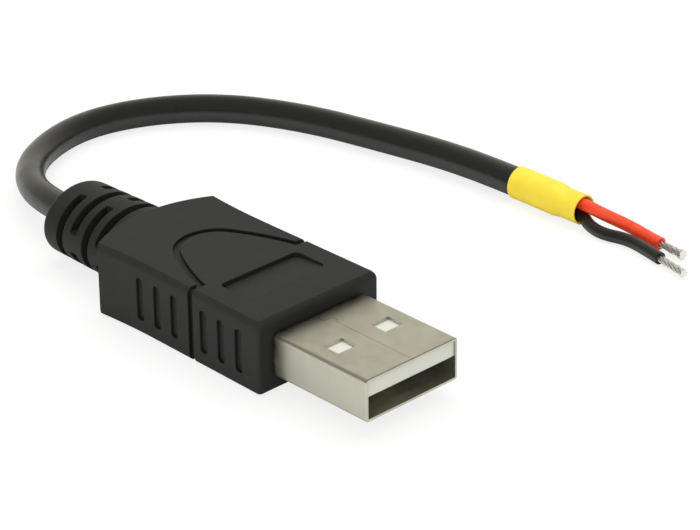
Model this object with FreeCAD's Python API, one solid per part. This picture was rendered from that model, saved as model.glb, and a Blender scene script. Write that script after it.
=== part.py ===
import FreeCAD, Part
import math
import os

# A short power cable: a flat plug with four contacts, a moulded grip with a slotted strain
# relief, a round jacket that turns back beside the plug, a shrink sleeve and two stripped wires.
# +X points out of the plug's mouth, +Y to the side on which the cable comes back, +Z up.
# The origin is the centre of the mouth. Sizes are in millimetres.

# Shell, folded from sheet
SHELL_WIDTH = 12.0
SHELL_HEIGHT = 4.5
SHELL_SHEET = 0.3
SHELL_BEND = 0.38
SHELL_EXPOSED = 12.6
SHELL_BURIED = 5.8
MOUTH_CHAMFER = 0.08
WINDOW_FROM_MOUTH = 5.5
WINDOW_LENGTH = 2.0
WINDOW_WIDTH = 2.35
WINDOW_CENTRE = 3.05
SEAM_GAP = 0.03
SEAM_LOCK_FROM_MOUTH = 10.2
SEAM_LOCK_NECK = 0.25
SEAM_LOCK_WIDTH = 0.75
SEAM_LOCK_LENGTH = 0.85

# Insulator with its tongue
INSULATOR_CLEARANCE = 0.03
TONGUE_THICKNESS = 1.84
TONGUE_RECESS = 0.2
TONGUE_CHAMFER = 0.25
CAVITY_DEPTH = 9.2
BLOCK_LENGTH = 7.0

# Contacts, set into the underside of the tongue
CONTACT_WIDTH = 1.0
CONTACT_SHEET = 0.3
CONTACT_PROUD = 0.1
CONTACT_FIT = 0.02
OUTER_CONTACT_PLACE = 3.5
INNER_CONTACT_PLACE = 1.0
OUTER_CONTACT_START = 1.3
INNER_CONTACT_START = 2.3
CONTACT_TIP = 0.5
SOLDERED_TAIL = 3.0
SPARE_TAIL = 2.0

# Inner mould round the terminals
INNER_MOULD_WALL = 0.75
INNER_MOULD_OVER_JACKET = 2.6
INNER_MOULD_CORNER = 0.8

# Grip housing
HOUSING_HEIGHT = 7.9
HOUSING_FRONT_WIDTH = 15.7
HOUSING_WAIST_WIDTH = 15.3
HOUSING_REAR_WIDTH = 15.9
HOUSING_LENGTH = 23.4
HOUSING_REAR_BULGE = 2.3
FLARE_LENGTH = 7.5
EDGE_INSET = 0.45
EDGE_DEPTH = 0.8
FRONT_CORNER_ROUND = 0.35

# Parting groove round the waist, with its arches on the two broad faces
GROOVE_FROM_FRONT = 9.85
GROOVE_WIDTH = 0.7
GROOVE_DEPTH = 0.4
ARCH_WIDTH = 0.72
ARCH_DEPTH = 0.32
ARCH_LENGTH = 8.7
ARCH_NOSE_RADIUS = 4.0
ARCH_FLANK_RADIUS = 28.0
ARCH_NOSE_ANGLE = 60.0

# Grip slots in both side faces, three on each side of the groove
SLOT_PITCH = 2.55
SLOT_WIDTH = 1.0
SLOT_END_ROUND = 0.4
SLOT_HEIGHT = 4.6
SLOT_DEPTH = 0.32
SLOTS_IN_GROUP = 3
FRONT_SLOT_FROM_GROOVE = 1.85
REAR_SLOT_FROM_GROOVE = 2.5

# Recessed name field on top, left bare
FIELD_FROM_FRONT = 4.4
FIELD_LENGTH = 4.2
FIELD_WIDTH = 10.1
FIELD_DEPTH_REAR = 0.45
FIELD_DEPTH_FRONT = 0.18
FIELD_CORNER = 0.6

# Strain relief
RELIEF_LENGTH = 10.8
RELIEF_ROOT_WIDTH = 10.4
RELIEF_END_WIDTH = 9.4
RELIEF_END_ROUND = 0.7
RELIEF_END_HEIGHT = 7.65
RELIEF_CORE_WALL = 0.35
RELIEF_ROOT_INSIDE = 1.0
RELIEF_SLOT = 1.05
RELIEF_SLOT_ROUND = 0.25
RELIEF_SLOT_PITCH = 2.07
RELIEF_ROWS = 4
RELIEF_END_RING = 2.5
RELIEF_TOP_BRIDGE = 2.4
RELIEF_SIDE_BRIDGE = 2.0

# Cable
JACKET_DIAMETER = 3.2
JACKET_BORE = 2.76
WIRE_DIAMETER = 1.34
WIRE_SPACING = 1.37
CONDUCTOR_DIAMETER = 0.8
CONDUCTOR_FIT = 0.02
SOLDER_DIAMETER = 1.4
SOLDER_LENGTH = 2.2
SOLDER_ROUND = 0.4
SOLDER_FROM_TAIL_END = 0.2
INSULATION_BEHIND_TAIL = 0.2
RED_STRIP_X = -6.4
BLACK_STRIP_X = -4.3

# Shrink sleeve on the end of the jacket
SLEEVE_WALL = 0.2
SLEEVE_REAR_X = -25.3
SLEEVE_FRONT_X = -15.9
SLEEVE_STEP = 0.9
SLEEVE_FRONT_BORE = 2.85

# The most of a straight run that the arc at one end of it may take
ARC_REACH = 0.45

# How far a cutting body reaches past what it cuts, beside a face and beyond everything
OVER = 1.0
FAR = 200.0

# Heights of what lies on the surface under the grip
FLOOR = -HOUSING_HEIGHT / 2
LYING = FLOOR + JACKET_DIAMETER / 2
SLEEVE_LYING = LYING + SLEEVE_WALL
WIRE_LYING = FLOOR + WIRE_DIAMETER / 2

# Places that several pieces share, worked out from the sizes above
SHELL_LENGTH = SHELL_EXPOSED + SHELL_BURIED
INSIDE_HEIGHT = SHELL_HEIGHT - 2 * SHELL_SHEET
INSIDE_WIDTH = SHELL_WIDTH - 2 * SHELL_SHEET
INSIDE_CORNER = SHELL_BEND - SHELL_SHEET
BLOCK_END = CAVITY_DEPTH + BLOCK_LENGTH
TONGUE_TOP = INSIDE_HEIGHT / 2 - INSULATOR_CLEARANCE
TONGUE_UNDERSIDE = TONGUE_TOP - TONGUE_THICKNESS
CONTACT_UNDERSIDE = TONGUE_UNDERSIDE - CONTACT_PROUD
CONTACT_TOP = CONTACT_UNDERSIDE + CONTACT_SHEET
CONDUCTOR_ON_TAIL = CONTACT_TOP + CONDUCTOR_DIAMETER / 2
HOUSING_FRONT = -SHELL_EXPOSED
HOUSING_REAR = HOUSING_FRONT - HOUSING_LENGTH
RELIEF_START = HOUSING_REAR - HOUSING_REAR_BULGE
RELIEF_END = RELIEF_START - RELIEF_LENGTH
GROOVE_X = HOUSING_FRONT - GROOVE_FROM_FRONT

# The route of the cable, chosen by hand: out of the strain relief, down to the surface,
# round a U-turn and back beside the plug.
CABLE_ROUTE = [
    (-32.0, 0.0, 0.12),
    (-40.0, 0.0, -0.05),
    (-52.0, 0.0, -0.35),
    (-60.2, 2.3, -1.3),
    (-66.9, 8.3, -2.2),
    (-70.0, 16.9, LYING),
    (-68.0, 25.0, LYING),
    (-62.5, 32.1, LYING),
    (-53.9, 36.6, LYING),
    (-44.2, 39.0, LYING),
    (-34.4, 40.7, SLEEVE_LYING),
    (-24.6, 41.1, SLEEVE_LYING),
]
JACKET_START = (-28.5, 0.0, 0.20)
JACKET_END = (-19.3, 41.1, SLEEVE_LYING)
BETWEEN_RUNS = JACKET_END[1] / 2

RED_START = [
    (-17.4, OUTER_CONTACT_PLACE, CONDUCTOR_ON_TAIL),
    (-19.6, 3.4, CONDUCTOR_ON_TAIL + 0.02),
    (-22.2, 2.0, 0.70),
    (-24.6, 0.5, 0.87),
    (-27.2, 0.0, 0.89),
]
RED_END = [
    (-15.7, 41.1, SLEEVE_LYING + WIRE_SPACING / 2),
    (-13.7, 41.5, -1.95),
    (-10.7, 42.8, -2.9),
    (-7.4, 42.65, WIRE_LYING),
    (-3.2, 42.3, WIRE_LYING),
]
BLACK_START = [
    (-17.4, -OUTER_CONTACT_PLACE, CONDUCTOR_ON_TAIL),
    (-19.8, -3.4, CONDUCTOR_ON_TAIL + 0.04),
    (-22.3, -2.0, 0.30),
    (-24.6, -0.5, -0.38),
    (-27.2, 0.0, -0.475),
]
BLACK_END = [
    (-15.8, 41.1, SLEEVE_LYING - WIRE_SPACING / 2),
    (-14.5, 40.4, -3.2),
    (-12.2, 40.0, WIRE_LYING),
    (-9.4, 41.0, WIRE_LYING),
    (-5.5, 40.3, WIRE_LYING),
    (-0.4, 39.2, WIRE_LYING),
]


def vector(point):
    return FreeCAD.Vector(*point)


def box(x0, x1, y0, y1, z0, z1):
    return Part.makeBox(x1 - x0, y1 - y0, z1 - z0, FreeCAD.Vector(x0, y0, z0))


def rounded_bar(x0, x1, width, height, corner):
    # A bar along X whose four long edges are rounded.
    bar = box(x0, x1, -width / 2, width / 2, -height / 2, height / 2)
    long_edges = [edge for edge in bar.Edges if abs(edge.tangentAt(0).x) > 0.99]
    return bar.makeFillet(corner, long_edges)


def route_wire(points):
    # Straight runs joined by tangent arcs, each as large as its two runs allow.
    corners = [vector(point) for point in points]
    edges = []
    radii = []
    start = corners[0]
    for before, corner, after in zip(corners, corners[1:], corners[2:]):
        back = before - corner
        ahead = after - corner
        reach = ARC_REACH * min(back.Length, ahead.Length)
        back.normalize()
        ahead.normalize()
        half_turn = (math.pi - back.getAngle(ahead)) / 2
        radius = reach / math.tan(half_turn)
        bisector = back + ahead
        bisector.normalize()
        middle = corner + bisector * (radius / math.cos(half_turn) - radius)
        arc_start = corner + back * reach
        arc_end = corner + ahead * reach
        edges.append(Part.LineSegment(start, arc_start).toShape())
        edges.append(Part.Arc(arc_start, middle, arc_end).toShape())
        radii.append(radius)
        start = arc_end
    edges.append(Part.LineSegment(start, corners[-1]).toShape())
    return Part.Wire(edges), radii


def tube(name, points, diameter):
    path, radii = route_wire(points)
    first = vector(points[0])
    direction = vector(points[1]) - first
    section = Part.Wire(Part.makeCircle(diameter / 2, first, direction))
    solid = path.makePipeShell([section], True, False)
    expected = math.pi * diameter ** 2 / 4 * path.Length
    print("%s: length %.1f mm, volume / section x length %.4f, radii %s"
          % (name, path.Length, solid.Volume / expected, [round(radius, 1) for radius in radii]))
    return solid


def raised(points, height):
    return [(x, y, z + height) for x, y, z in points]


# Cable

def red_route():
    return RED_START + raised(CABLE_ROUTE, WIRE_SPACING / 2) + RED_END


def black_route():
    return BLACK_START + raised(CABLE_ROUTE, -WIRE_SPACING / 2) + BLACK_END


def jacket_route():
    return [JACKET_START] + CABLE_ROUTE + [JACKET_END]


def stripped(wire, far_end):
    # Takes the insulation off both ends: behind the plug's contacts and at the free end.
    plug_end = -BLOCK_END - SOLDERED_TAIL - INSULATION_BEHIND_TAIL
    plug_box = box(plug_end, FAR, -FAR, BETWEEN_RUNS, -FAR, FAR)
    far_box = box(far_end, FAR, BETWEEN_RUNS, FAR, -FAR, FAR)
    return wire.cut(plug_box).cut(far_box)


def make_wire(name, points, strip_x):
    conductor = tube(name + " conductor", points, CONDUCTOR_DIAMETER)
    bore = tube(name + " bore", points, CONDUCTOR_DIAMETER + 2 * CONDUCTOR_FIT)
    solid = tube(name + " insulation", points, WIRE_DIAMETER)
    return stripped(solid.cut(bore), strip_x), conductor


def make_jacket():
    outside = tube("jacket", jacket_route(), JACKET_DIAMETER)
    bore = tube("jacket bore", jacket_route(), JACKET_BORE)
    return outside, outside.cut(bore)


def make_sleeve(jacket_outside):
    # Shrunk tight on the jacket, then stepped down to the two wires.
    end_x = JACKET_END[0]
    step_x = end_x + SLEEVE_STEP
    rear = tube("sleeve", jacket_route()[-4:], JACKET_DIAMETER + 2 * SLEEVE_WALL)
    rear = rear.common(box(SLEEVE_REAR_X, end_x, BETWEEN_RUNS, FAR, -FAR, FAR))
    rear = rear.cut(jacket_outside)
    axis = FreeCAD.Vector(1, 0, 0)
    step_start = FreeCAD.Vector(*JACKET_END)
    front_start = FreeCAD.Vector(step_x, JACKET_END[1], JACKET_END[2])
    front_length = SLEEVE_FRONT_X - step_x
    step_bore = Part.makeCone(JACKET_BORE / 2, SLEEVE_FRONT_BORE / 2, SLEEVE_STEP, step_start, axis)
    rear_outside = JACKET_DIAMETER / 2 + SLEEVE_WALL
    front_outside = SLEEVE_FRONT_BORE / 2 + SLEEVE_WALL
    step = Part.makeCone(rear_outside, front_outside, SLEEVE_STEP, step_start, axis).cut(step_bore)
    front = Part.makeCylinder(front_outside, front_length, front_start, axis)
    front = front.cut(Part.makeCylinder(SLEEVE_FRONT_BORE / 2, front_length, front_start, axis))
    return rear.fuse([step, front]).removeSplitter()


# Shell

def slit(points, gap, low, height):
    # A narrow gap of even width along a line of straight pieces, in plan.
    pieces = []
    for start, end in zip(points, points[1:]):
        start = FreeCAD.Vector(start[0], start[1], low)
        end = FreeCAD.Vector(end[0], end[1], low)
        along = (end - start).normalize() * (gap / 2)
        across = FreeCAD.Vector(-along.y, along.x, 0)
        first = start - along
        last = end + along
        outline = Part.makePolygon([first - across, last - across, last + across, first + across,
                                    first - across])
        pieces.append(Part.Face(outline).extrude(FreeCAD.Vector(0, 0, height)))
    return pieces


def seam_cuts():
    # The butt seam of the folded sheet, with the jog of its lock near the grip.
    lock = -SEAM_LOCK_FROM_MOUTH
    lock_end = lock - SEAM_LOCK_LENGTH
    line = [
        (OVER, 0.0),
        (lock, 0.0),
        (lock - SEAM_LOCK_NECK, SEAM_LOCK_WIDTH / 2),
        (lock_end, SEAM_LOCK_WIDTH / 3),
        (lock_end - SEAM_LOCK_NECK / 2, -SEAM_LOCK_WIDTH),
        (-SHELL_LENGTH - OVER, -SEAM_LOCK_WIDTH),
    ]
    return slit(line, SEAM_GAP, INSIDE_HEIGHT / 2 - SHELL_SHEET, 3 * SHELL_SHEET)


def shell_outside():
    return rounded_bar(-SHELL_LENGTH, 0.0, SHELL_WIDTH, SHELL_HEIGHT, SHELL_BEND)


def make_shell():
    outside = shell_outside()
    mouth_edges = [edge for edge in outside.Edges
                   if all(abs(vertex.X) < 1e-6 for vertex in edge.Vertexes)]
    outside = outside.makeChamfer(MOUTH_CHAMFER, mouth_edges)
    inside = rounded_bar(-SHELL_LENGTH - OVER, OVER, INSIDE_WIDTH, INSIDE_HEIGHT, INSIDE_CORNER)
    windows = []
    for side in (-1, 1):
        middle = side * WINDOW_CENTRE
        windows.append(box(-WINDOW_FROM_MOUTH - WINDOW_LENGTH, -WINDOW_FROM_MOUTH,
                           middle - WINDOW_WIDTH / 2, middle + WINDOW_WIDTH / 2,
                           -SHELL_HEIGHT, SHELL_HEIGHT))
    return outside.cut([inside] + seam_cuts() + windows)


# Contacts and insulator

def contact_shape(place, start, tail, play=0.0):
    # A strip whose front tip is bent up into the tongue. Play makes the slot that it sits in.
    front = -start + play
    tip_front = front + CONTACT_TIP
    tip_rear = tip_front - CONTACT_SHEET - 2 * play
    bend = front - CONTACT_SHEET / 2 - 2 * play
    rear = -BLOCK_END - tail
    low = CONTACT_UNDERSIDE - play
    high = CONTACT_TOP + play
    outline = Part.makePolygon([
        FreeCAD.Vector(rear, 0, low),
        FreeCAD.Vector(front, 0, low),
        FreeCAD.Vector(tip_front, 0, low + CONTACT_TIP),
        FreeCAD.Vector(tip_front, 0, high + CONTACT_TIP),
        FreeCAD.Vector(tip_rear, 0, high + CONTACT_TIP),
        FreeCAD.Vector(bend, 0, high),
        FreeCAD.Vector(rear, 0, high),
        FreeCAD.Vector(rear, 0, low),
    ])
    strip = Part.Face(outline).extrude(FreeCAD.Vector(0, CONTACT_WIDTH + 2 * play, 0))
    strip.translate(FreeCAD.Vector(0, place - CONTACT_WIDTH / 2 - play, 0))
    return strip


CONTACTS = {
    "contact_gnd": (-OUTER_CONTACT_PLACE, OUTER_CONTACT_START, SOLDERED_TAIL),
    "contact_d_plus": (-INNER_CONTACT_PLACE, INNER_CONTACT_START, SPARE_TAIL),
    "contact_d_minus": (INNER_CONTACT_PLACE, INNER_CONTACT_START, SPARE_TAIL),
    "contact_vbus": (OUTER_CONTACT_PLACE, OUTER_CONTACT_START, SOLDERED_TAIL),
}


def make_insulator():
    width = INSIDE_WIDTH - 2 * INSULATOR_CLEARANCE
    height = INSIDE_HEIGHT - 2 * INSULATOR_CLEARANCE
    body = rounded_bar(-BLOCK_END, -TONGUE_RECESS, width, height, INSIDE_CORNER)
    cavity = box(-CAVITY_DEPTH, FAR, -FAR, FAR, -FAR, TONGUE_UNDERSIDE)
    body = body.cut(cavity)
    lip = [edge for edge in body.Edges
           if all(abs(vertex.X + TONGUE_RECESS) < 1e-6 and vertex.Z < TONGUE_UNDERSIDE + 1e-6
                  for vertex in edge.Vertexes)]
    body = body.makeChamfer(TONGUE_CHAMFER, lip)
    slots = [contact_shape(place, start, OVER, CONTACT_FIT) for place, start, tail in CONTACTS.values()]
    return body.cut(slots)


def make_solder(place, conductor):
    # A drop on the tail that closes over the bare strands.
    rear = -BLOCK_END - SOLDERED_TAIL + SOLDER_FROM_TAIL_END
    start = FreeCAD.Vector(rear, place, CONDUCTOR_ON_TAIL)
    drop = Part.makeCylinder(SOLDER_DIAMETER / 2, SOLDER_LENGTH, start, FreeCAD.Vector(1, 0, 0))
    end_edges = [edge for edge in drop.Edges if isinstance(edge.Curve, Part.Circle)]
    drop = drop.makeFillet(SOLDER_ROUND, end_edges)
    above_tail = box(-FAR, FAR, -FAR, FAR, CONTACT_TOP, FAR)
    return drop.common(above_tail).cut(conductor)


# Mouldings

def inner_mould_outside():
    rear = JACKET_START[0] - INNER_MOULD_OVER_JACKET
    return rounded_bar(rear, -BLOCK_END, SHELL_WIDTH + 2 * INNER_MOULD_WALL,
                       SHELL_HEIGHT + 2 * INNER_MOULD_WALL, INNER_MOULD_CORNER)


def tangent_arc(start, direction, end):
    # The arc that leaves its start in a given direction.
    chord = end - start
    turn = direction.getAngle(chord)
    along = chord * (direction.dot(chord) / chord.dot(chord))
    outwards = (direction - along).normalize()
    middle = (start + end) * 0.5 + outwards * (chord.Length / 2 * math.tan(turn / 2))
    return Part.Arc(start, middle, end).toShape()


def bowed_rear_x(y):
    # Where the bowed rear of the housing lies at a distance from the middle.
    half_width = HOUSING_REAR_WIDTH / 2
    bow_radius = (half_width ** 2 + HOUSING_REAR_BULGE ** 2) / (2 * HOUSING_REAR_BULGE)
    return RELIEF_START + bow_radius - math.sqrt(bow_radius ** 2 - y ** 2)


def housing_flank(side, inset):
    # From the front corner straight to the waist, then in a smooth flare to the rear corner.
    rear_y = HOUSING_REAR_WIDTH / 2 - inset
    front = FreeCAD.Vector(HOUSING_FRONT - inset, side * (HOUSING_FRONT_WIDTH / 2 - inset), 0)
    waist = FreeCAD.Vector(HOUSING_REAR + FLARE_LENGTH, side * (HOUSING_WAIST_WIDTH / 2 - inset), 0)
    rear = FreeCAD.Vector(bowed_rear_x(rear_y), side * rear_y, 0)
    return [Part.LineSegment(front, waist).toShape(), tangent_arc(waist, waist - front, rear)]


def housing_outline(height, inset):
    # The plan of the housing at a height, drawn in by the inset on all sides but its rear.
    flanks = [housing_flank(side, inset) for side in (1, -1)]
    fronts = [flank[0].Vertexes[0].Point for flank in flanks]
    rears = [flank[1].Vertexes[-1].Point for flank in flanks]
    edges = [Part.LineSegment(fronts[1], fronts[0]).toShape(),
             Part.Arc(rears[0], FreeCAD.Vector(RELIEF_START, 0, 0), rears[1]).toShape()]
    outline = Part.Wire(Part.__sortEdges__(edges + flanks[0] + flanks[1]))
    slab = Part.Face(outline).extrude(FreeCAD.Vector(0, 0, OVER))
    corners = [edge for edge in slab.Edges
               if all(abs(vertex.X - fronts[0].x) < 1e-6 for vertex in edge.Vertexes)
               and abs(edge.tangentAt(0).z) > 0.99]
    slab = slab.makeFillet(FRONT_CORNER_ROUND, corners)
    rounded = min(slab.Faces, key=lambda face: face.CenterOfMass.z).OuterWire
    rounded.translate(FreeCAD.Vector(0, 0, height))
    return rounded


def housing_body():
    # Upright sides whose long and front edges are rounded off and end in a crease round each flat.
    top = HOUSING_HEIGHT / 2
    shoulder = top - EDGE_DEPTH
    radius = (EDGE_DEPTH ** 2 + EDGE_INSET ** 2) / (2 * EDGE_INSET)
    half_inset = radius - math.sqrt(radius ** 2 - (EDGE_DEPTH / 2) ** 2)
    middle = Part.Face(housing_outline(-shoulder, 0)).extrude(FreeCAD.Vector(0, 0, 2 * shoulder))
    rims = []
    for side in (1, -1):
        sections = [housing_outline(side * shoulder, 0),
                    housing_outline(side * (shoulder + EDGE_DEPTH / 2), half_inset),
                    housing_outline(side * top, EDGE_INSET)]
        rims.append(Part.makeLoft(sections, True, False))
    return middle.fuse(rims).removeSplitter()


def arch_centres():
    # Where the nose and the flanks of an arch have their centres, in plan. Each flank meets the
    # nose at the nose angle and the groove round the waist at the end angle.
    nose_angle = math.radians(ARCH_NOSE_ANGLE)
    nose_x = GROOVE_X - ARCH_LENGTH + ARCH_NOSE_RADIUS
    shift = ARCH_FLANK_RADIUS - ARCH_NOSE_RADIUS
    flank_x = nose_x + shift * math.cos(nose_angle)
    flank_y = -shift * math.sin(nose_angle)
    end_angle = math.acos((flank_x - GROOVE_X) / ARCH_FLANK_RADIUS)
    return nose_x, flank_x, flank_y, nose_angle, end_angle


def arch_band():
    # The plan of one arch, a band of even width: a nose and two flanks, all arcs.
    nose_x, flank_x, flank_y, nose_angle, end_angle = arch_centres()
    middle_angle = (nose_angle + end_angle) / 2

    def on_nose(radius, angle):
        return FreeCAD.Vector(nose_x - radius * math.cos(angle), radius * math.sin(angle), 0)

    def on_flank(radius, angle, side):
        return FreeCAD.Vector(flank_x - radius * math.cos(angle),
                              side * (flank_y + radius * math.sin(angle)), 0)

    edges = []
    ends = []
    for half in (-ARCH_WIDTH / 2, ARCH_WIDTH / 2):
        nose = ARCH_NOSE_RADIUS + half
        flank = ARCH_FLANK_RADIUS + half
        for side in (-1, 1):
            foot = on_flank(flank, end_angle, side)
            edges.append(Part.Arc(foot, on_flank(flank, middle_angle, side),
                                  on_flank(flank, nose_angle, side)).toShape())
            ends.append(foot)
        edges.append(Part.Arc(on_nose(nose, -nose_angle), on_nose(nose, 0),
                              on_nose(nose, nose_angle)).toShape())
    edges.append(Part.LineSegment(ends[0], ends[2]).toShape())
    edges.append(Part.LineSegment(ends[1], ends[3]).toShape())
    return Part.Face(Part.Wire(Part.__sortEdges__(edges)))


def arch_grooves():
    top = HOUSING_HEIGHT / 2
    upper = arch_band()
    lower = upper.copy()
    upper.translate(FreeCAD.Vector(0, 0, top - ARCH_DEPTH))
    lower.translate(FreeCAD.Vector(0, 0, -top - OVER))
    return [upper.extrude(FreeCAD.Vector(0, 0, ARCH_DEPTH + OVER)),
            lower.extrude(FreeCAD.Vector(0, 0, ARCH_DEPTH + OVER))]


def arch_foot():
    # How far from the middle the arch meets the groove round the waist.
    nose_x, flank_x, flank_y, nose_angle, end_angle = arch_centres()
    return flank_y + ARCH_FLANK_RADIUS * math.sin(end_angle)


def flank_y(x):
    # Half width of the grip at a place on its straight flanks.
    front = HOUSING_FRONT_WIDTH / 2
    waist = HOUSING_WAIST_WIDTH / 2
    share = (HOUSING_FRONT - x) / (HOUSING_LENGTH - FLARE_LENGTH)
    return front + (waist - front) * min(share, 1.0)


def waist_grooves():
    # Up each side face and over the edges as far as the feet of the arches.
    cuts = []
    foot = arch_foot() - ARCH_WIDTH / 2
    side_floor = flank_y(GROOVE_X) - GROOVE_DEPTH
    top = HOUSING_HEIGHT / 2
    rear = GROOVE_X - GROOVE_WIDTH / 2
    front = GROOVE_X + GROOVE_WIDTH / 2
    for side in (-1, 1):
        near, far = sorted((side * side_floor, side * HOUSING_REAR_WIDTH))
        cuts.append(box(rear, front, near, far, -top - OVER, top + OVER))
        near, far = sorted((side * foot, side * HOUSING_REAR_WIDTH))
        cuts.append(box(rear, front, near, far, top - ARCH_DEPTH, top + OVER))
        cuts.append(box(rear, front, near, far, -top - OVER, -top + ARCH_DEPTH))
    return cuts


def grip_slots():
    # Upright slots with rounded corners, all of the same depth below the flank.
    end_round = min(SLOT_END_ROUND, 0.45 * SLOT_WIDTH)
    cuts = []
    for number in range(SLOTS_IN_GROUP):
        in_front = GROOVE_X + FRONT_SLOT_FROM_GROOVE + number * SLOT_PITCH
        behind = GROOVE_X - REAR_SLOT_FROM_GROOVE - number * SLOT_PITCH
        for x in (in_front, behind):
            depth_y = flank_y(x) - SLOT_DEPTH
            for side in (-1, 1):
                near, far = sorted((side * depth_y, side * HOUSING_REAR_WIDTH))
                slot = box(x - SLOT_WIDTH / 2, x + SLOT_WIDTH / 2, near, far,
                           -SLOT_HEIGHT / 2, SLOT_HEIGHT / 2)
                corners = [edge for edge in slot.Edges if abs(edge.tangentAt(0).y) > 0.99]
                cuts.append(slot.makeFillet(end_round, corners))
    return cuts


def name_field():
    # A wedge-shaped recess, deepest at its rear edge.
    front = HOUSING_FRONT - FIELD_FROM_FRONT
    rear = front - FIELD_LENGTH
    top = HOUSING_HEIGHT / 2
    outline = Part.makePolygon([
        FreeCAD.Vector(rear, 0, top - FIELD_DEPTH_REAR),
        FreeCAD.Vector(front, 0, top - FIELD_DEPTH_FRONT),
        FreeCAD.Vector(front, 0, top + OVER),
        FreeCAD.Vector(rear, 0, top + OVER),
        FreeCAD.Vector(rear, 0, top - FIELD_DEPTH_REAR),
    ])
    wedge = Part.Face(outline).extrude(FreeCAD.Vector(0, FIELD_WIDTH, 0))
    wedge.translate(FreeCAD.Vector(0, -FIELD_WIDTH / 2, 0))
    corners = [edge for edge in wedge.Edges if abs(edge.tangentAt(0).z) > 0.99]
    return wedge.makeFillet(FIELD_CORNER, corners)


def oval(x, width, height):
    # Flush with the grip's underside.
    middle = (height - HOUSING_HEIGHT) / 2
    ring = Part.Ellipse(FreeCAD.Vector(x, width / 2, middle),
                        FreeCAD.Vector(x, 0, middle + height / 2),
                        FreeCAD.Vector(x, 0, middle))
    return Part.Wire(ring.toShape())


def rounded_slot(x, near, across_y):
    # A cut through the relief from a given distance off its middle outwards, round at its inner end.
    front = x + RELIEF_SLOT
    if across_y:
        slot = box(x, front, near, FAR, -FAR, FAR)
        inner_end = [edge for edge in slot.Edges
                     if abs(edge.tangentAt(0).z) > 0.99 and abs(edge.Vertexes[0].Y - near) < 1e-6]
    else:
        slot = box(x, front, -FAR, FAR, near, FAR)
        inner_end = [edge for edge in slot.Edges
                     if abs(edge.tangentAt(0).y) > 0.99 and abs(edge.Vertexes[0].Z - near) < 1e-6]
    return slot.makeFillet(RELIEF_SLOT_ROUND, inner_end)


def relief_body():
    # An oval sleeve of rings, narrower at its free end, that starts inside the grip.
    root = oval(HOUSING_REAR + RELIEF_ROOT_INSIDE, RELIEF_ROOT_WIDTH, HOUSING_HEIGHT)
    end = oval(RELIEF_END, RELIEF_END_WIDTH, RELIEF_END_HEIGHT)
    body = Part.makeLoft([root, end], True, True)
    rim = [edge for edge in body.Edges if edge.BoundBox.XMax < RELIEF_END + 0.1]
    body = body.makeFillet(RELIEF_END_ROUND, rim)
    core = Part.makeCylinder(JACKET_DIAMETER / 2 + RELIEF_CORE_WALL, RELIEF_LENGTH + HOUSING_REAR_BULGE,
                             FreeCAD.Vector(RELIEF_END, 0, 0), FreeCAD.Vector(1, 0, 0))
    cuts = []
    for row in range(RELIEF_ROWS):
        rear = RELIEF_END + RELIEF_END_RING + row * RELIEF_SLOT_PITCH
        if row % 2 == 0:
            slot = rounded_slot(rear, RELIEF_TOP_BRIDGE / 2, True)
        else:
            slot = rounded_slot(rear, RELIEF_SIDE_BRIDGE / 2, False)
        opposite = slot.copy()
        opposite.rotate(FreeCAD.Vector(0, 0, 0), FreeCAD.Vector(1, 0, 0), 180)
        cuts += [slot.cut(core), opposite.cut(core)]
    return body.cut(cuts)


def make_overmould(inner_mould, jacket_outside):
    body = housing_body().fuse(relief_body())
    body = body.cut(arch_grooves() + waist_grooves() + grip_slots() + [name_field()])
    return body.cut([inner_mould, shell_outside(), jacket_outside])


def save(shape, name):
    if shape.ShapeType == "Compound" and len(shape.Solids) == 1:
        shape = shape.Solids[0]
    print("%s: %d solid(s), volume %.3f mm3, valid %s"
          % (name, len(shape.Solids), shape.Volume, shape.isValid()))
    shape.exportStep("parts/%s.step" % name)


os.makedirs("parts", exist_ok=True)

shell = make_shell()
insulator = make_insulator()
contacts = {name: contact_shape(*sizes) for name, sizes in CONTACTS.items()}
red_insulation, red_conductor = make_wire("red", red_route(), RED_STRIP_X)
black_insulation, black_conductor = make_wire("black", black_route(), BLACK_STRIP_X)
jacket_outside, jacket = make_jacket()
sleeve = make_sleeve(jacket_outside)
solder_vbus = make_solder(OUTER_CONTACT_PLACE, red_conductor)
solder_gnd = make_solder(-OUTER_CONTACT_PLACE, black_conductor)

mould_outside = inner_mould_outside()
inner_mould = mould_outside.cut([shell, insulator, jacket_outside, solder_vbus, solder_gnd,
                                 red_insulation, black_insulation, red_conductor, black_conductor]
                                + list(contacts.values()))
overmould = make_overmould(mould_outside, jacket_outside)

save(overmould, "overmould")
save(inner_mould, "inner_mould")
save(shell, "shell")
save(insulator, "insulator")
for name, contact in contacts.items():
    save(contact, name)
save(solder_vbus, "solder_vbus")
save(solder_gnd, "solder_gnd")
save(jacket, "cable_jacket")
save(red_insulation, "red_insulation")
save(black_insulation, "black_insulation")
save(red_conductor, "red_conductor")
save(black_conductor, "black_conductor")
save(sleeve, "shrink_sleeve")
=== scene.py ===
import math

import bpy
from mathutils import Matrix, Vector


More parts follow.
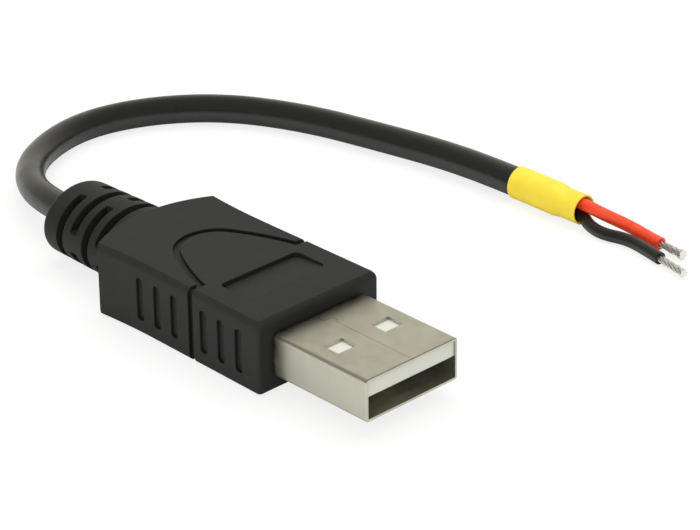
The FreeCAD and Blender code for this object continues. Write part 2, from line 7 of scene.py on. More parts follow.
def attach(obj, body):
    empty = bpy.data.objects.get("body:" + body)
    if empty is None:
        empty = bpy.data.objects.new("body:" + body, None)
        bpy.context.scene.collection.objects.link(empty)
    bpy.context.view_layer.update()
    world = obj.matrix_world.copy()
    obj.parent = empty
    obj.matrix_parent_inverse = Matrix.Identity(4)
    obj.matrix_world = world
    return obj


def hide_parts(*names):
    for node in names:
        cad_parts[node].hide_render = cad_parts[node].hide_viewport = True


# A short power cable: a flat plug, its grip with a slotted strain relief, a round jacket that
# turns back beside the plug, a shrink sleeve and two wires with bare ends. Sizes are in metres,
# the origin is the centre of the plug's mouth, and +X points out of it.
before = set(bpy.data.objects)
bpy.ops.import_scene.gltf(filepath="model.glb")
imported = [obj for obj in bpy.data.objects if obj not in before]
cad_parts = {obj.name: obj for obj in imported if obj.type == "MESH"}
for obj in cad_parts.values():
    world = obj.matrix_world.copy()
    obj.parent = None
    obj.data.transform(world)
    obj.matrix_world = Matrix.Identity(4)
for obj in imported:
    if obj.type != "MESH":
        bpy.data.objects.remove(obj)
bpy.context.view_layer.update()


# Camera
# A long lens looks down at the plug's mouth from its front left corner. The distance, the angles
# and the two shifts of the aim put every corner of the plug on its place in the photograph.
PICTURE_WIDTH = 700
FOCAL_PIXELS = 3065.6
SENSOR_WIDTH = 36.0
VIEW_AZIMUTH = math.radians(46.44)
VIEW_ELEVATION = math.radians(27.18)
VIEW_ROLL = math.radians(-0.52)
VIEW_DISTANCE = 0.28484
AIM_RIGHT = 62.47
AIM_UP = -114.92


def camera_place():
    backwards = Vector((math.sin(VIEW_AZIMUTH) * math.cos(VIEW_ELEVATION),
                        -math.cos(VIEW_AZIMUTH) * math.cos(VIEW_ELEVATION),
                        math.sin(VIEW_ELEVATION)))
    level_right = (-backwards).cross(Vector((0, 0, 1))).normalized()
    level_up = backwards.cross(level_right)
    right = level_right * math.cos(VIEW_ROLL) + level_up * math.sin(VIEW_ROLL)
    up = level_up * math.cos(VIEW_ROLL) - level_right * math.sin(VIEW_ROLL)
    metres_per_pixel = VIEW_DISTANCE / FOCAL_PIXELS
    place = (backwards * VIEW_DISTANCE - right * AIM_RIGHT * metres_per_pixel
             - up * AIM_UP * metres_per_pixel)
    turn = Matrix((right, up, backwards)).transposed().to_4x4()
    return Matrix.Translation(place) @ turn


lens = bpy.data.cameras.new("camera")
lens.sensor_width = SENSOR_WIDTH
lens.lens = SENSOR_WIDTH * FOCAL_PIXELS / PICTURE_WIDTH
lens.clip_start = 0.01
lens.clip_end = 10.0
camera = bpy.data.objects.new("camera", lens)
camera.matrix_world = camera_place()
bpy.context.collection.objects.link(camera)
bpy.context.scene.camera = camera


# Cable jacket
# A round jacket of soft black PVC, extruded over the two wires. It leaves the strain relief level,
# comes down to the surface, turns back beside the plug and ends inside the shrink sleeve.
JACKET_DIAMETER = 0.0032
JACKET_SIDES = 48
STEPS_PER_POINT = 24
SURFACE = -0.00395
LYING = SURFACE + JACKET_DIAMETER / 2
SLEEVE_WALL = 0.0002
SLEEVE_LYING = LYING + SLEEVE_WALL
CABLE_ROUTE = [
    (-0.0320, 0.0, 0.00012),
    (-0.0400, 0.0, -0.00005),
    (-0.0520, 0.0, -0.00035),
    (-0.0602, 0.0023, -0.0013),
    (-0.0669, 0.0083, -0.0022),
    (-0.0700, 0.0169, LYING),
    (-0.0680, 0.0250, LYING),
    (-0.0625, 0.0321, LYING),
    (-0.0539, 0.0366, LYING),
    (-0.0442, 0.0390, LYING),
    (-0.0344, 0.0407, SLEEVE_LYING),
    (-0.0246, 0.0411, SLEEVE_LYING),
]
JACKET_START = (-0.0285, 0.0, 0.0002)
JACKET_END = (-0.0193, 0.0411, SLEEVE_LYING)
BLACK_PVC = (0.0095, 0.0095, 0.0092)

# The trim node has two pairs of sockets with the same names; these are the pair in metres.
TRIM_START = 4
TRIM_END = 5


def smooth_route(name, places):
    curve = bpy.data.curves.new(name, "CURVE")
    curve.dimensions = "3D"
    curve.resolution_u = STEPS_PER_POINT
    spline = curve.splines.new("NURBS")
    spline.points.add(len(places) - 1)
    for point, place in zip(spline.points, places):
        point.co = (*place, 1.0)
    spline.order_u = 3
    spline.use_endpoint_u = True
    route = bpy.data.objects.new(name, curve)
    bpy.context.collection.objects.link(route)
    return route


def evaluated_mesh(source):
    depsgraph = bpy.context.evaluated_depsgraph_get()
    return bpy.data.meshes.new_from_object(source.evaluated_get(depsgraph))


def line_of(route):
    return [vertex.co.copy() for vertex in evaluated_mesh(route).vertices]


def add_input(tree, name, kind, value):
    socket = tree.interface.new_socket(name, in_out="INPUT", socket_type=kind)
    socket.default_value = value


def new_tree(name):
    tree = bpy.data.node_groups.new(name, "GeometryNodeTree")
    tree.is_modifier = True
    tree.interface.new_socket("Geometry", in_out="INPUT", socket_type="NodeSocketGeometry")
    tree.interface.new_socket("Geometry", in_out="OUTPUT", socket_type="NodeSocketGeometry")
    return tree


def shaped(source, name, tree, **sizes):
    """A plain mesh object of what the tree makes of the source, which is then removed."""
    modifier = source.modifiers.new(tree.name, "NODES")
    modifier.node_group = tree
    for socket in tree.interface.items_tree:
        word = socket.name.lower().replace(" ", "_")
        if socket.in_out == "INPUT" and word in sizes:
            modifier[socket.identifier] = sizes[word]
    piece = bpy.data.objects.new(name, evaluated_mesh(source))
    piece.data.name = name
    bpy.context.collection.objects.link(piece)
    bpy.data.objects.remove(source)
    return piece


def worked(tree, operation, first, second):
    """The result of a sum of two sockets, or of a socket and a number."""
    node = tree.nodes.new("ShaderNodeMath")
    node.operation = operation
    for socket, value in zip(node.inputs, (first, second)):
        if isinstance(value, float):
            socket.default_value = value
        else:
            tree.links.new(value, socket)
    return node.outputs[0]


def tube_tree():
    """A round tube along the whole route but a length at each end, closed at both ends."""
    tree = new_tree("tube along a route")
    add_input(tree, "Diameter", "NodeSocketFloat", 0.003)
    add_input(tree, "Sides", "NodeSocketInt", 32)
    add_input(tree, "Bare start", "NodeSocketFloat", 0.0)
    add_input(tree, "Bare end", "NodeSocketFloat", 0.0)
    add_input(tree, "Finish", "NodeSocketMaterial", None)
    nodes = tree.nodes
    link = tree.links.new
    given = nodes.new("NodeGroupInput")
    length = nodes.new("GeometryNodeCurveLength")
    link(given.outputs["Geometry"], length.inputs["Curve"])
    stop = worked(tree, "SUBTRACT", length.outputs["Length"], given.outputs["Bare end"])
    trim = nodes.new("GeometryNodeTrimCurve")
    trim.mode = "LENGTH"
    link(given.outputs["Geometry"], trim.inputs["Curve"])
    link(given.outputs["Bare start"], trim.inputs[TRIM_START])
    link(stop, trim.inputs[TRIM_END])
    section = nodes.new("GeometryNodeCurvePrimitiveCircle")
    link(given.outputs["Sides"], section.inputs["Resolution"])
    link(worked(tree, "MULTIPLY", given.outputs["Diameter"], 0.5), section.inputs["Radius"])
    sweep = nodes.new("GeometryNodeCurveToMesh")
    sweep.inputs["Fill Caps"].default_value = True
    link(trim.outputs["Curve"], sweep.inputs["Curve"])
    link(section.outputs["Curve"], sweep.inputs["Profile Curve"])
    finish = nodes.new("GeometryNodeSetMaterial")
    link(sweep.outputs["Mesh"], finish.inputs["Geometry"])
    link(given.outputs["Finish"], finish.inputs["Material"])
    result = nodes.new("NodeGroupOutput")
    link(finish.outputs["Geometry"], result.inputs["Geometry"])
    return tree


def new_finish(name, colour, roughness, metallic=0.0):
    finish = bpy.data.materials.new(name)
    finish.use_nodes = True
    shader = finish.node_tree.nodes["Principled BSDF"]
    shader.inputs["Base Color"].default_value = (*colour, 1.0)
    shader.inputs["Roughness"].default_value = roughness
    shader.inputs["Metallic"].default_value = metallic
    return finish


def speckle(finish, scale, detail=2.0):
    """Noise from 0 to 1 on the piece's own coordinates, with its scale in grains a metre."""
    nodes = finish.node_tree.nodes
    link = finish.node_tree.links.new
    place = nodes.new("ShaderNodeTexCoord")
    grain = nodes.new("ShaderNodeTexNoise")
    grain.inputs["Scale"].default_value = scale
    grain.inputs["Detail"].default_value = detail
    link(place.outputs["Object"], grain.inputs["Vector"])
    return grain.outputs["Fac"]


def raise_grain(finish, height, depth):
    """Bumps the surface by a height from 0 to 1, on top of what already bends its normal."""
    nodes = finish.node_tree.nodes
    link = finish.node_tree.links.new
    socket = nodes["Principled BSDF"].inputs["Normal"]
    bump = nodes.new("ShaderNodeBump")
    bump.inputs["Distance"].default_value = depth
    link(height, bump.inputs["Height"])
    if socket.is_linked:
        link(socket.links[0].from_socket, bump.inputs["Normal"])
    link(bump.outputs["Normal"], socket)


def vary(finish, value, socket_name, low, high, start=0.3, end=0.7):
    """Runs a socket of the shader between two numbers or two colours."""
    nodes = finish.node_tree.nodes
    link = finish.node_tree.links.new
    socket = nodes["Principled BSDF"].inputs[socket_name]
    if socket.type == "RGBA":
        ramp = nodes.new("ShaderNodeValToRGB")
        ramp.color_ramp.elements[0].position = start
        ramp.color_ramp.elements[1].position = end
        ramp.color_ramp.elements[0].color = (*low, 1.0)
        ramp.color_ramp.elements[1].color = (*high, 1.0)
        link(value, ramp.inputs["Fac"])
        link(ramp.outputs["Color"], socket)
    else:
        span = nodes.new("ShaderNodeMapRange")
        span.inputs["From Min"].default_value = start
        span.inputs["From Max"].default_value = end
        span.inputs["To Min"].default_value = low
        span.inputs["To Max"].default_value = high
        link(value, span.inputs["Value"])
        link(span.outputs["Result"], socket)


def lower_shine(finish, level):
    finish.node_tree.nodes["Principled BSDF"].inputs["Specular IOR Level"].default_value = level


def smooth(piece):
    for face in piece.data.polygons:
        face.use_smooth = True


jacket_finish = new_finish("black extruded PVC", BLACK_PVC, 0.3)
raise_grain(jacket_finish, speckle(jacket_finish, 2600.0), 0.000012)
raise_grain(jacket_finish, speckle(jacket_finish, 260.0), 0.00006)
vary(jacket_finish, speckle(jacket_finish, 500.0), "Roughness", 0.26, 0.34)

tube = tube_tree()
jacket_route = smooth_route("jacket_route", [JACKET_START] + CABLE_ROUTE + [JACKET_END])
jacket_line = line_of(jacket_route)
jacket = shaped(jacket_route, "jacket", tube, diameter=JACKET_DIAMETER, sides=JACKET_SIDES,
                finish=jacket_finish)
smooth(jacket)
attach(jacket, "root")
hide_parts("cable_jacket")


# Wires
# Two thin PVC-insulated wires lie one above the other in the jacket and part where they leave it.
# The red one arches over to the far side, and the black one drops to the surface at once.
WIRE_DIAMETER = 0.00134
WIRE_SPACING = 0.00137
WIRE_SIDES = 32
WIRE_LYING = SURFACE + WIRE_DIAMETER / 2
CONTACT_PLACE = 0.0035
CONDUCTOR_ON_TAIL = 0.00068
RED_START = [
    (-0.0174, CONTACT_PLACE, CONDUCTOR_ON_TAIL),
    (-0.0196, 0.0034, 0.00070),
    (-0.0222, 0.0020, 0.00070),
    (-0.0246, 0.0005, 0.00087),
    (-0.0272, 0.0, 0.00089),
]
RED_END = [
    (-0.0157, 0.0411, SLEEVE_LYING + WIRE_SPACING / 2),
    (-0.0137, 0.0415, -0.00195),
    (-0.0107, 0.0428, -0.0029),
    (-0.0074, 0.04265, WIRE_LYING),
    (-0.0032, 0.0423, WIRE_LYING),
]
BLACK_START = [
    (-0.0174, -CONTACT_PLACE, CONDUCTOR_ON_TAIL),
    (-0.0198, -0.0034, 0.00072),
    (-0.0223, -0.0020, 0.00030),
    (-0.0246, -0.0005, -0.00038),
    (-0.0272, 0.0, -0.000475),
]
BLACK_END = [
    (-0.0158, 0.0411, SLEEVE_LYING - WIRE_SPACING / 2),
    (-0.0145, 0.0404, -0.0032),
    (-0.0122, 0.0400, WIRE_LYING),
    (-0.0094, 0.0410, WIRE_LYING),
    (-0.0055, 0.0403, WIRE_LYING),
    (-0.0004, 0.0392, WIRE_LYING),
]
BARE_AT_PLUG = 0.0020
RED_BARE_END = 0.00322
BLACK_BARE_END = 0.0040
RED_PVC = (0.82, 0.055, 0.011)
RED_DARK = (0.74, 0.044, 0.009)
RED_LIGHT = (0.88, 0.066, 0.013)


def raised(places, height):
    return [(x, y, z + height) for x, y, z in places]


def length_of(line):
    return sum((after - before).length for before, after in zip(line, line[1:]))


def between_ends(line, bare_start, bare_end):
    """The part of a line that is left when a length at each end is taken off."""
    stop = length_of(line) - bare_end
    kept = []
    run = 0.0
    for before, after in zip(line, line[1:]):
        if bare_start <= run <= stop:
            kept.append(before)
        run += (after - before).length
    return kept


def make_wire(name, places, bare_end, finish, node):
    route = smooth_route(name + "_route", places)
    line = line_of(route)
    wire = shaped(route, name, tube, diameter=WIRE_DIAMETER, sides=WIRE_SIDES,
                  bare_start=BARE_AT_PLUG, bare_end=bare_end, finish=finish)
    smooth(wire)
    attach(wire, "root")
    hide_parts(node)
    return wire, between_ends(line, BARE_AT_PLUG, bare_end)


red_finish = new_finish("red wire PVC", RED_PVC, 0.34)
raise_grain(red_finish, speckle(red_finish, 3000.0), 0.00001)
vary(red_finish, speckle(red_finish, 900.0), "Base Color", RED_DARK, RED_LIGHT)
black_finish = new_finish("black wire PVC", BLACK_PVC, 0.3)
raise_grain(black_finish, speckle(black_finish, 3000.0), 0.00001)

red_places = RED_START + raised(CABLE_ROUTE, WIRE_SPACING / 2) + RED_END
black_places = BLACK_START + raised(CABLE_ROUTE, -WIRE_SPACING / 2) + BLACK_END
red_wire, red_covered = make_wire(
    "red_wire", red_places, RED_BARE_END, red_finish, "red_insulation")
black_wire, black_covered = make_wire(
    "black_wire", black_places, BLACK_BARE_END, black_finish, "black_insulation")


# Bare ends
# A core of tinned copper runs through each wire. At the free end it is seven twisted strands,
# stripped, tinned together and opened a little at their tips.
CONDUCTOR_DIAMETER = 0.0008
STRAND_DIAMETER = 0.00029
STRANDS_ROUND = 6
STRAND_TURNS = 190.0
UNDER_INSULATION = 0.0006
RED_OPENING = 0.35
BLACK_OPENING = 0.12
RED_UNEVENNESS = 0.00022
BLACK_UNEVENNESS = 0.00014
OPENING_POWER = 3.0
CORE_SIDES = 20
STRAND_SIDES = 12
STRAND_STATIONS = 70
LUMPS_PER_METRE = 1500.0


def strand_tree():
    """A plain core along the route, then twisted strands over the last stretch of it."""
    tree = new_tree("strands along a route")
    add_input(tree, "Diameter", "NodeSocketFloat", 0.00075)
    add_input(tree, "Strand", "NodeSocketFloat", 0.00025)
    add_input(tree, "Strands", "NodeSocketInt", 6)
    add_input(tree, "Turns", "NodeSocketFloat", 200.0)
    add_input(tree, "Stretch", "NodeSocketFloat", 0.004)
    add_input(tree, "Opening", "NodeSocketFloat", 0.2)
    add_input(tree, "Unevenness", "NodeSocketFloat", 0.00008)
    add_input(tree, "Finish", "NodeSocketMaterial", None)
    nodes = tree.nodes
    link = tree.links.new
    given = nodes.new("NodeGroupInput")
    length = nodes.new("GeometryNodeCurveLength")
    link(given.outputs["Geometry"], length.inputs["Curve"])
    turning_point = worked(tree, "SUBTRACT", length.outputs["Length"], given.outputs["Stretch"])

    covered = nodes.new("GeometryNodeTrimCurve")
    covered.mode = "LENGTH"
    link(given.outputs["Geometry"], covered.inputs["Curve"])
    link(turning_point, covered.inputs[TRIM_END])
    core_section = nodes.new("GeometryNodeCurvePrimitiveCircle")
    core_section.inputs["Resolution"].default_value = CORE_SIDES
    link(worked(tree, "MULTIPLY", given.outputs["Diameter"], 0.5), core_section.inputs["Radius"])
    core = nodes.new("GeometryNodeCurveToMesh")
    core.inputs["Fill Caps"].default_value = True
    link(covered.outputs["Curve"], core.inputs["Curve"])
    link(core_section.outputs["Curve"], core.inputs["Profile Curve"])

    bare = nodes.new("GeometryNodeTrimCurve")
    bare.mode = "LENGTH"
    link(given.outputs["Geometry"], bare.inputs["Curve"])
    link(turning_point, bare.inputs[TRIM_START])
    link(length.outputs["Length"], bare.inputs[TRIM_END])
    fine = nodes.new("GeometryNodeResampleCurve")
    fine.inputs["Count"].default_value = STRAND_STATIONS
    link(bare.outputs["Curve"], fine.inputs["Curve"])
    along = nodes.new("GeometryNodeSplineParameter")
    twisted = nodes.new("GeometryNodeSetCurveTilt")
    link(fine.outputs["Curve"], twisted.inputs["Curve"])
    turns = worked(tree, "MULTIPLY", along.outputs["Length"], given.outputs["Turns"])
    link(worked(tree, "MULTIPLY", turns, 2 * math.pi), twisted.inputs["Tilt"])

    strand = nodes.new("GeometryNodeCurvePrimitiveCircle")
    strand.inputs["Resolution"].default_value = STRAND_SIDES
    link(worked(tree, "MULTIPLY", given.outputs["Strand"], 0.5), strand.inputs["Radius"])
    ring = nodes.new("GeometryNodeMeshCircle")
    link(given.outputs["Strands"], ring.inputs["Vertices"])
    room = worked(tree, "SUBTRACT", given.outputs["Diameter"], given.outputs["Strand"])
    link(worked(tree, "MULTIPLY", room, 0.5), ring.inputs["Radius"])
    around = nodes.new("GeometryNodeInstanceOnPoints")
    link(ring.outputs["Mesh"], around.inputs["Points"])
    link(strand.outputs["Curve"], around.inputs["Instance"])
    real = nodes.new("GeometryNodeRealizeInstances")
    link(around.outputs["Instances"], real.inputs["Geometry"])
    bundle = nodes.new("GeometryNodeJoinGeometry")
    link(real.outputs["Geometry"], bundle.inputs["Geometry"])
    link(strand.outputs["Curve"], bundle.inputs["Geometry"])
    late = worked(tree, "POWER", along.outputs["Factor"], OPENING_POWER)
    opened = worked(tree, "MULTIPLY", late, given.outputs["Opening"])
    strands = nodes.new("GeometryNodeCurveToMesh")
    strands.inputs["Fill Caps"].default_value = True
    link(twisted.outputs["Curve"], strands.inputs["Curve"])
    link(bundle.outputs["Geometry"], strands.inputs["Profile Curve"])
    link(worked(tree, "ADD", opened, 1.0), strands.inputs["Scale"])
    lumps = nodes.new("ShaderNodeTexNoise")
    lumps.inputs["Scale"].default_value = LUMPS_PER_METRE
    centred = nodes.new("ShaderNodeVectorMath")
    centred.operation = "SUBTRACT"
    centred.inputs[1].default_value = (0.5, 0.5, 0.5)
    link(lumps.outputs["Color"], centred.inputs[0])
    sized = nodes.new("ShaderNodeVectorMath")
    sized.operation = "SCALE"
    link(centred.outputs["Vector"], sized.inputs[0])
    link(given.outputs["Unevenness"], sized.inputs["Scale"])
    uneven = nodes.new("GeometryNodeSetPosition")
    link(strands.outputs["Mesh"], uneven.inputs["Geometry"])
    link(sized.outputs["Vector"], uneven.inputs["Offset"])

    whole = nodes.new("GeometryNodeJoinGeometry")
    link(core.outputs["Mesh"], whole.inputs["Geometry"])
    link(uneven.outputs["Geometry"], whole.inputs["Geometry"])
    finish = nodes.new("GeometryNodeSetMaterial")
    link(whole.outputs["Geometry"], finish.inputs["Geometry"])
    link(given.outputs["Finish"], finish.inputs["Material"])
    result = nodes.new("NodeGroupOutput")
    link(finish.outputs["Geometry"], result.inputs["Geometry"])
    return tree


def bare_end(name, places, stretch, opening, unevenness):
    piece = shaped(smooth_route(name + "_route", places), name, strands, finish=tinned,
                   diameter=CONDUCTOR_DIAMETER, strand=STRAND_DIAMETER, strands=STRANDS_ROUND,
                   turns=STRAND_TURNS, stretch=stretch + UNDER_INSULATION, opening=opening,
                   unevenness=unevenness)
    smooth(piece)
    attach(piece, "root")
    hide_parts(name)


tinned = new_finish("tinned copper", (0.78, 0.77, 0.74), 0.24, metallic=1.0)
vary(tinned, speckle(tinned, 2200.0), "Roughness", 0.18, 0.42)
strands = strand_tree()
bare_end("red_conductor", red_places, RED_BARE_END, RED_OPENING, RED_UNEVENNESS)
bare_end("black_conductor", black_places, BLACK_BARE_END, BLACK_OPENING, BLACK_UNEVENNESS)


# Sleeve
# Yellow heat-shrink tube, tight on the end of the jacket and stepped down to the two wires. Its
# wall is thin and a little wavy, and its mouth stands open round the wires.
SLEEVE_DIAMETER = 0.00357
SLEEVE_FRONT_DIAMETER = 0.00324
SLEEVE_REAR = (-0.0253, 0.04107, SLEEVE_LYING)
SLEEVE_MOUTH = (-0.0159, 0.0411, SLEEVE_LYING)
SLEEVE_STATIONS = 120
SLEEVE_SIDES = 64
SLEEVE_STEP_START = 0.61
SLEEVE_STEP_END = 0.75
SLEEVE_WAVE = 0.00006
WAVES_PER_METRE = 420.0
YELLOW = (0.84, 0.65, 0.045)
YELLOW_DARK = (0.80, 0.60, 0.035)
YELLOW_LIGHT = (0.88, 0.70, 0.06)


def sleeve_tree():
    """An open tube whose radius steps down between two shares of the route."""
    tree = new_tree("stepped sleeve")
    add_input(tree, "Diameter", "NodeSocketFloat", 0.0034)
    add_input(tree, "Front share", "NodeSocketFloat", 0.9)
    add_input(tree, "Stations", "NodeSocketInt", 100)
    add_input(tree, "Wave", "NodeSocketFloat", 0.00005)
    add_input(tree, "Finish", "NodeSocketMaterial", None)
    nodes = tree.nodes
    link = tree.links.new
    given = nodes.new("NodeGroupInput")
    fine = nodes.new("GeometryNodeResampleCurve")
    link(given.outputs["Geometry"], fine.inputs["Curve"])
    link(given.outputs["Stations"], fine.inputs["Count"])
    along = nodes.new("GeometryNodeSplineParameter")
    step = nodes.new("ShaderNodeMapRange")
    step.interpolation_type = "SMOOTHSTEP"
    step.inputs["From Min"].default_value = SLEEVE_STEP_START
    step.inputs["From Max"].default_value = SLEEVE_STEP_END
    step.inputs["To Min"].default_value = 1.0
    link(along.outputs["Factor"], step.inputs["Value"])
    link(given.outputs["Front share"], step.inputs["To Max"])
    section = nodes.new("GeometryNodeCurvePrimitiveCircle")
    section.inputs["Resolution"].default_value = SLEEVE_SIDES
    link(worked(tree, "MULTIPLY", given.outputs["Diameter"], 0.5), section.inputs["Radius"])
    sweep = nodes.new("GeometryNodeCurveToMesh")
    link(fine.outputs["Curve"], sweep.inputs["Curve"])
    link(section.outputs["Curve"], sweep.inputs["Profile Curve"])
    link(step.outputs["Result"], sweep.inputs["Scale"])
    ripple = nodes.new("ShaderNodeTexNoise")
    ripple.inputs["Scale"].default_value = WAVES_PER_METRE
    centred = worked(tree, "SUBTRACT", ripple.outputs["Fac"], 0.5)
    height = worked(tree, "MULTIPLY", centred, given.outputs["Wave"])
    normal = nodes.new("GeometryNodeInputNormal")
    offset = nodes.new("ShaderNodeVectorMath")
    offset.operation = "SCALE"
    link(normal.outputs["Normal"], offset.inputs[0])
    link(height, offset.inputs["Scale"])
    wavy = nodes.new("GeometryNodeSetPosition")
    link(sweep.outputs["Mesh"], wavy.inputs["Geometry"])
    link(offset.outputs["Vector"], wavy.inputs["Offset"])
    finish = nodes.new("GeometryNodeSetMaterial")
    link(wavy.outputs["Geometry"], finish.inputs["Geometry"])
    link(given.outputs["Finish"], finish.inputs["Material"])
    result = nodes.new("NodeGroupOutput")
    link(finish.outputs["Geometry"], result.inputs["Geometry"])
    return tree


def thicken(piece, wall):
    """Gives an open tube a wall on its inner side."""
    modifier = piece.modifiers.new("wall", "SOLIDIFY")
    modifier.thickness = wall
    modifier.offset = -1.0
    thick = evaluated_mesh(piece)
    piece.modifiers.remove(modifier)
    piece.data = thick
    thick.name = piece.name


yellow = new_finish("yellow shrink sleeve", YELLOW, 0.5)
lower_shine(yellow, 0.3)
raise_grain(yellow, speckle(yellow, 900.0), 0.00002)
vary(yellow, speckle(yellow, 300.0), "Base Color", YELLOW_DARK, YELLOW_LIGHT)
sleeve_route = smooth_route(
    "sleeve_route", [SLEEVE_REAR, CABLE_ROUTE[-1], JACKET_END, SLEEVE_MOUTH])
sleeve = shaped(sleeve_route, "sleeve", sleeve_tree(), diameter=SLEEVE_DIAMETER,
                front_share=SLEEVE_FRONT_DIAMETER / SLEEVE_DIAMETER, stations=SLEEVE_STATIONS,
                wave=SLEEVE_WAVE, finish=yellow)
thicken(sleeve, SLEEVE_WALL)
smooth(sleeve)
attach(sleeve, "root")
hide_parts("shrink_sleeve")


# Shell
# Sheet steel folded into a flat tube with a butt seam on top, nickel plated. Two windows on each
# broad face take the springs of a socket. Beside the grip a narrow brownish band of painted shade
# darkens it.
NICKEL = (0.56, 0.555, 0.475)
SHADE_BESIDE_GRIP = (0.17, 0.12, 0.08)
GRIP_FRONT = -0.0126
SHADE_REACH = 0.0008
SHADE_UNEVENNESS = 0.8
BEVEL_SAMPLES = 6


def dress(node, finish):
    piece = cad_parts[node]
    for place in piece.material_slots:
        place.material = finish


def round_edges(finish, radius):
    """Shades sharp edges as if they had this radius."""
    nodes = finish.node_tree.nodes
    bevel = nodes.new("ShaderNodeBevel")
    bevel.samples = BEVEL_SAMPLES
    bevel.inputs["Radius"].default_value = radius
    finish.node_tree.links.new(bevel.outputs["Normal"], nodes["Principled BSDF"].inputs["Normal"])


def place_along(finish, axis, start, end):
    """From 0 at one place to 1 at another, along an axis of the part."""
    nodes = finish.node_tree.nodes
    link = finish.node_tree.links.new
    place = nodes.new("ShaderNodeTexCoord")
    parts = nodes.new("ShaderNodeSeparateXYZ")
    span = nodes.new("ShaderNodeMapRange")
    span.inputs["From Min"].default_value = start
    span.inputs["From Max"].default_value = end
    link(place.outputs["Object"], parts.inputs["Vector"])
    link(parts.outputs[axis], span.inputs["Value"])
    return span.outputs["Result"]


nickel = new_finish("nickel plated steel", NICKEL, 0.3, metallic=1.0)
round_edges(nickel, 0.00004)
raise_grain(nickel, speckle(nickel, 9000.0), 0.000002)
vary(nickel, speckle(nickel, 700.0), "Roughness", 0.34, 0.46)
# Painted shade: the colour falls to brown over a narrow band beside the grip, mottled by noise.
unshaded = place_along(nickel, "X", GRIP_FRONT, GRIP_FRONT + SHADE_REACH)
mottle = worked(nickel.node_tree, "MULTIPLY", speckle(nickel, 1100.0), SHADE_UNEVENNESS)
unshaded = worked(nickel.node_tree, "ADD", unshaded, mottle)
vary(nickel, unshaded, "Base Color", SHADE_BESIDE_GRIP, NICKEL, 0.35, 1.0)
dress("shell", nickel)


# Insulator
# One white moulding fills the plug's rear and carries the tongue.
WHITE_MOULDING = (0.64, 0.65, 0.57)
white_moulding = new_finish("white moulding", WHITE_MOULDING, 0.5)
round_edges(white_moulding, 0.00008)
raise_grain(white_moulding, speckle(white_moulding, 4000.0), 0.000004)
dress("insulator", white_moulding)


# Contacts
# Four plated strips in the underside of the tongue, two of them with a drop of solder.
plated = new_finish("plated contact", (0.78, 0.6, 0.3), 0.25, metallic=1.0)
round_edges(plated, 0.00004)
for node in ("contact_gnd", "contact_d_plus", "contact_d_minus", "contact_vbus"):
    dress(node, plated)
solder = new_finish("solder", (0.7, 0.7, 0.72), 0.3, metallic=1.0)
raise_grain(solder, speckle(solder, 1500.0), 0.00002)
dress("solder_vbus", solder)
dress("solder_gnd", solder)


# Inner mould
# A pale inner moulding holds the terminals, the wires and the end of the jacket in the grip.
inner_plastic = new_finish("inner moulding", (0.5, 0.5, 0.46), 0.5)
raise_grain(inner_plastic, speckle(inner_plastic, 2500.0), 0.00001)
dress("inner_mould", inner_plastic)


# Grip
# Soft black PVC moulded over the rear of the shell and the end of the jacket in one shot. Its
# flats have a fine matt texture, and its strain relief is darker and a little smoother.
GRIP_BLACK = (0.0198, 0.0214, 0.0198)
GRIP_ROUGHNESS = 0.6
RELIEF_BLACK = (0.0160, 0.0162, 0.0150)
RELIEF_ROUGHNESS = 0.56
RELIEF_FROM = -0.0372
RELIEF_TO = -0.0392
HOLLOW_REACH = 0.0012
HOLLOW_CLOSED = 0.15
HOLLOW_OPEN = 0.7
HOLLOW_SHADE = 0.12
HOLLOW_SAMPLES = 8

# The colour sockets of the mix node, which has others with the same names.
MIX_FIRST = 6
MIX_SECOND = 7
MIX_RESULT = 2


def paint_hollow_shade(finish):
    """Painted shade: takes the colour towards black where a surface lies deep in a slot or a
    groove.
    """
    nodes = finish.node_tree.nodes
    link = finish.node_tree.links.new
    socket = nodes["Principled BSDF"].inputs["Base Color"]
    openness = nodes.new("ShaderNodeAmbientOcclusion")
    openness.samples = HOLLOW_SAMPLES
    openness.inputs["Distance"].default_value = HOLLOW_REACH
    span = nodes.new("ShaderNodeMapRange")
    span.inputs["From Min"].default_value = HOLLOW_CLOSED
    span.inputs["From Max"].default_value = HOLLOW_OPEN
    span.inputs["To Min"].default_value = HOLLOW_SHADE
    span.inputs["To Max"].default_value = 1.0
    shaded = nodes.new("ShaderNodeMix")
    shaded.data_type = "RGBA"
    shaded.blend_type = "MULTIPLY"
    shaded.inputs["Factor"].default_value = 1.0
    link(openness.outputs["AO"], span.inputs["Value"])
    link(socket.links[0].from_socket, shaded.inputs[MIX_FIRST])
    link(span.outputs["Result"], shaded.inputs[MIX_SECOND])
    link(shaded.outputs[MIX_RESULT], socket)


grip_finish = new_finish("black grip PVC", GRIP_BLACK, GRIP_ROUGHNESS)
lower_shine(grip_finish, 0.2)
round_edges(grip_finish, 0.00012)
raise_grain(grip_finish, speckle(grip_finish, 5200.0, 3.0), 0.000012)
raise_grain(grip_finish, speckle(grip_finish, 330.0), 0.00005)
on_relief = place_along(grip_finish, "X", RELIEF_FROM, RELIEF_TO)
vary(grip_finish, on_relief, "Base Color", GRIP_BLACK, RELIEF_BLACK, 0.0, 1.0)
vary(grip_finish, on_relief, "Roughness", GRIP_ROUGHNESS, RELIEF_ROUGHNESS, 0.0, 1.0)
# Painted shade deep in the slots and grooves of the grip and its strain relief.
paint_hollow_shade(grip_finish)
dress("overmould", grip_finish)


# Floor and light
# A plain white table with a white surround. The table shows its own shade only in part, so that
# the shadow under the part stays faint. Two large soft lamps light the part from above.
FLOOR_SIZE = 3.0
FLOOR_SHADE = 0.24
FLOOR_COLOUR = (0.82, 0.82, 0.80)
WHITE_STRENGTH = 1.03
floor_mesh = bpy.data.meshes.new("floor")
half = FLOOR_SIZE / 2
floor_mesh.from_pydata([(-half, -half, SURFACE), (half, -half, SURFACE), (half, half, SURFACE),
                        (-half, half, SURFACE)], [], [(0, 1, 2, 3)])
floor = bpy.data.objects.new("floor", floor_mesh)
bpy.context.collection.objects.link(floor)


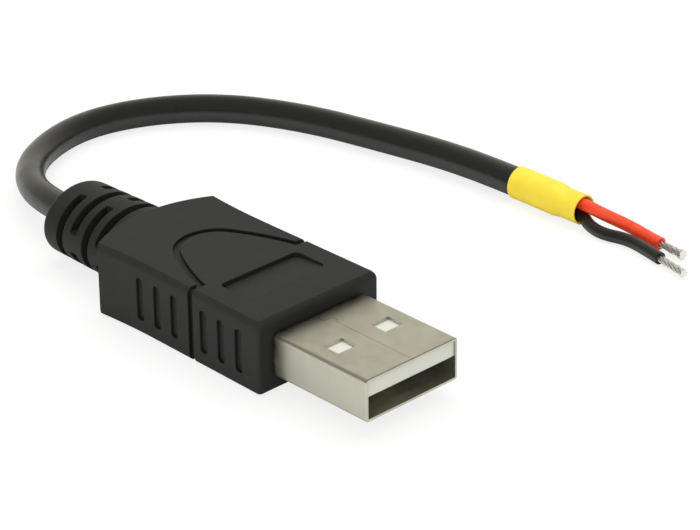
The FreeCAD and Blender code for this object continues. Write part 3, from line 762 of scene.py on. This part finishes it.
def whitened(name, colour, shade):
    """A matt surface that the camera sees mixed with plain white."""
    finish = new_finish(name, colour, 0.8)
    nodes = finish.node_tree.nodes
    link = finish.node_tree.links.new
    ray = nodes.new("ShaderNodeLightPath")
    share = worked(finish.node_tree, "MULTIPLY", ray.outputs["Is Camera Ray"], 1.0 - shade)
    white = nodes.new("ShaderNodeEmission")
    white.inputs["Strength"].default_value = WHITE_STRENGTH
    mix = nodes.new("ShaderNodeMixShader")
    link(share, mix.inputs["Fac"])
    link(nodes["Principled BSDF"].outputs["BSDF"], mix.inputs[1])
    link(white.outputs["Emission"], mix.inputs[2])
    link(mix.outputs["Shader"], nodes["Material Output"].inputs["Surface"])
    return finish


floor_mesh.materials.append(whitened("white table", FLOOR_COLOUR, FLOOR_SHADE))

AMBIENT = 0.62
BACK_GLOW = (0.94, 0.91, 0.80)
FRONT_GLOW = (0.30, 0.29, 0.26)
BACKWARDS = (-0.68, 0.66, -0.32)
FULL_GLOW_FROM = 0.75
WHITE = (1.0, 1.0, 1.0, 1.0)


def studio_world():
    """Even light, plain white behind the part, and mirrored as bright behind and dim in front."""
    world = bpy.data.worlds.new("studio")
    world.use_nodes = True
    nodes = world.node_tree.nodes
    link = world.node_tree.links.new
    even = nodes["Background"]
    even.inputs["Color"].default_value = WHITE
    even.inputs["Strength"].default_value = AMBIENT
    direction = nodes.new("ShaderNodeTexCoord")
    backwards = nodes.new("ShaderNodeVectorMath")
    backwards.operation = "DOT_PRODUCT"
    backwards.inputs[1].default_value = BACKWARDS
    link(direction.outputs["Generated"], backwards.inputs[0])
    ramp = nodes.new("ShaderNodeValToRGB")
    ramp.color_ramp.elements[0].position = 0.0
    ramp.color_ramp.elements[0].color = (*FRONT_GLOW, 1.0)
    ramp.color_ramp.elements[1].position = FULL_GLOW_FROM
    ramp.color_ramp.elements[1].color = (*BACK_GLOW, 1.0)
    link(backwards.outputs["Value"], ramp.inputs["Fac"])
    mirrored = nodes.new("ShaderNodeBackground")
    link(ramp.outputs["Color"], mirrored.inputs["Color"])
    plain = nodes.new("ShaderNodeBackground")
    plain.inputs["Color"].default_value = WHITE
    ray = nodes.new("ShaderNodeLightPath")
    glossy_mix = nodes.new("ShaderNodeMixShader")
    link(ray.outputs["Is Glossy Ray"], glossy_mix.inputs["Fac"])
    link(even.outputs["Background"], glossy_mix.inputs[1])
    link(mirrored.outputs["Background"], glossy_mix.inputs[2])
    camera_mix = nodes.new("ShaderNodeMixShader")
    link(ray.outputs["Is Camera Ray"], camera_mix.inputs["Fac"])
    link(glossy_mix.outputs["Shader"], camera_mix.inputs[1])
    link(plain.outputs["Background"], camera_mix.inputs[2])
    link(camera_mix.outputs["Shader"], nodes["World Output"].inputs["Surface"])
    return world


bpy.context.scene.world = studio_world()
LAMP_AIM = Vector((-0.03, 0.02, 0.0))


def lamp(name, place, width, height, watts):
    light = bpy.data.lights.new(name, "AREA")
    light.shape = "RECTANGLE"
    light.size = width
    light.size_y = height
    light.energy = watts
    holder = bpy.data.objects.new(name, light)
    direction = LAMP_AIM - Vector(place)
    turn = direction.to_track_quat("-Z", "Y").to_matrix().to_4x4()
    holder.matrix_world = Matrix.Translation(place) @ turn
    holder.visible_glossy = False
    bpy.context.collection.objects.link(holder)


lamp("top lamp", (-0.12, 0.16, 0.5), width=0.6, height=0.5, watts=2.2)
lamp("front lamp", (0.22, -0.42, 0.3), width=0.4, height=0.4, watts=1.3)

bpy.context.scene.view_settings.view_transform = "Standard"
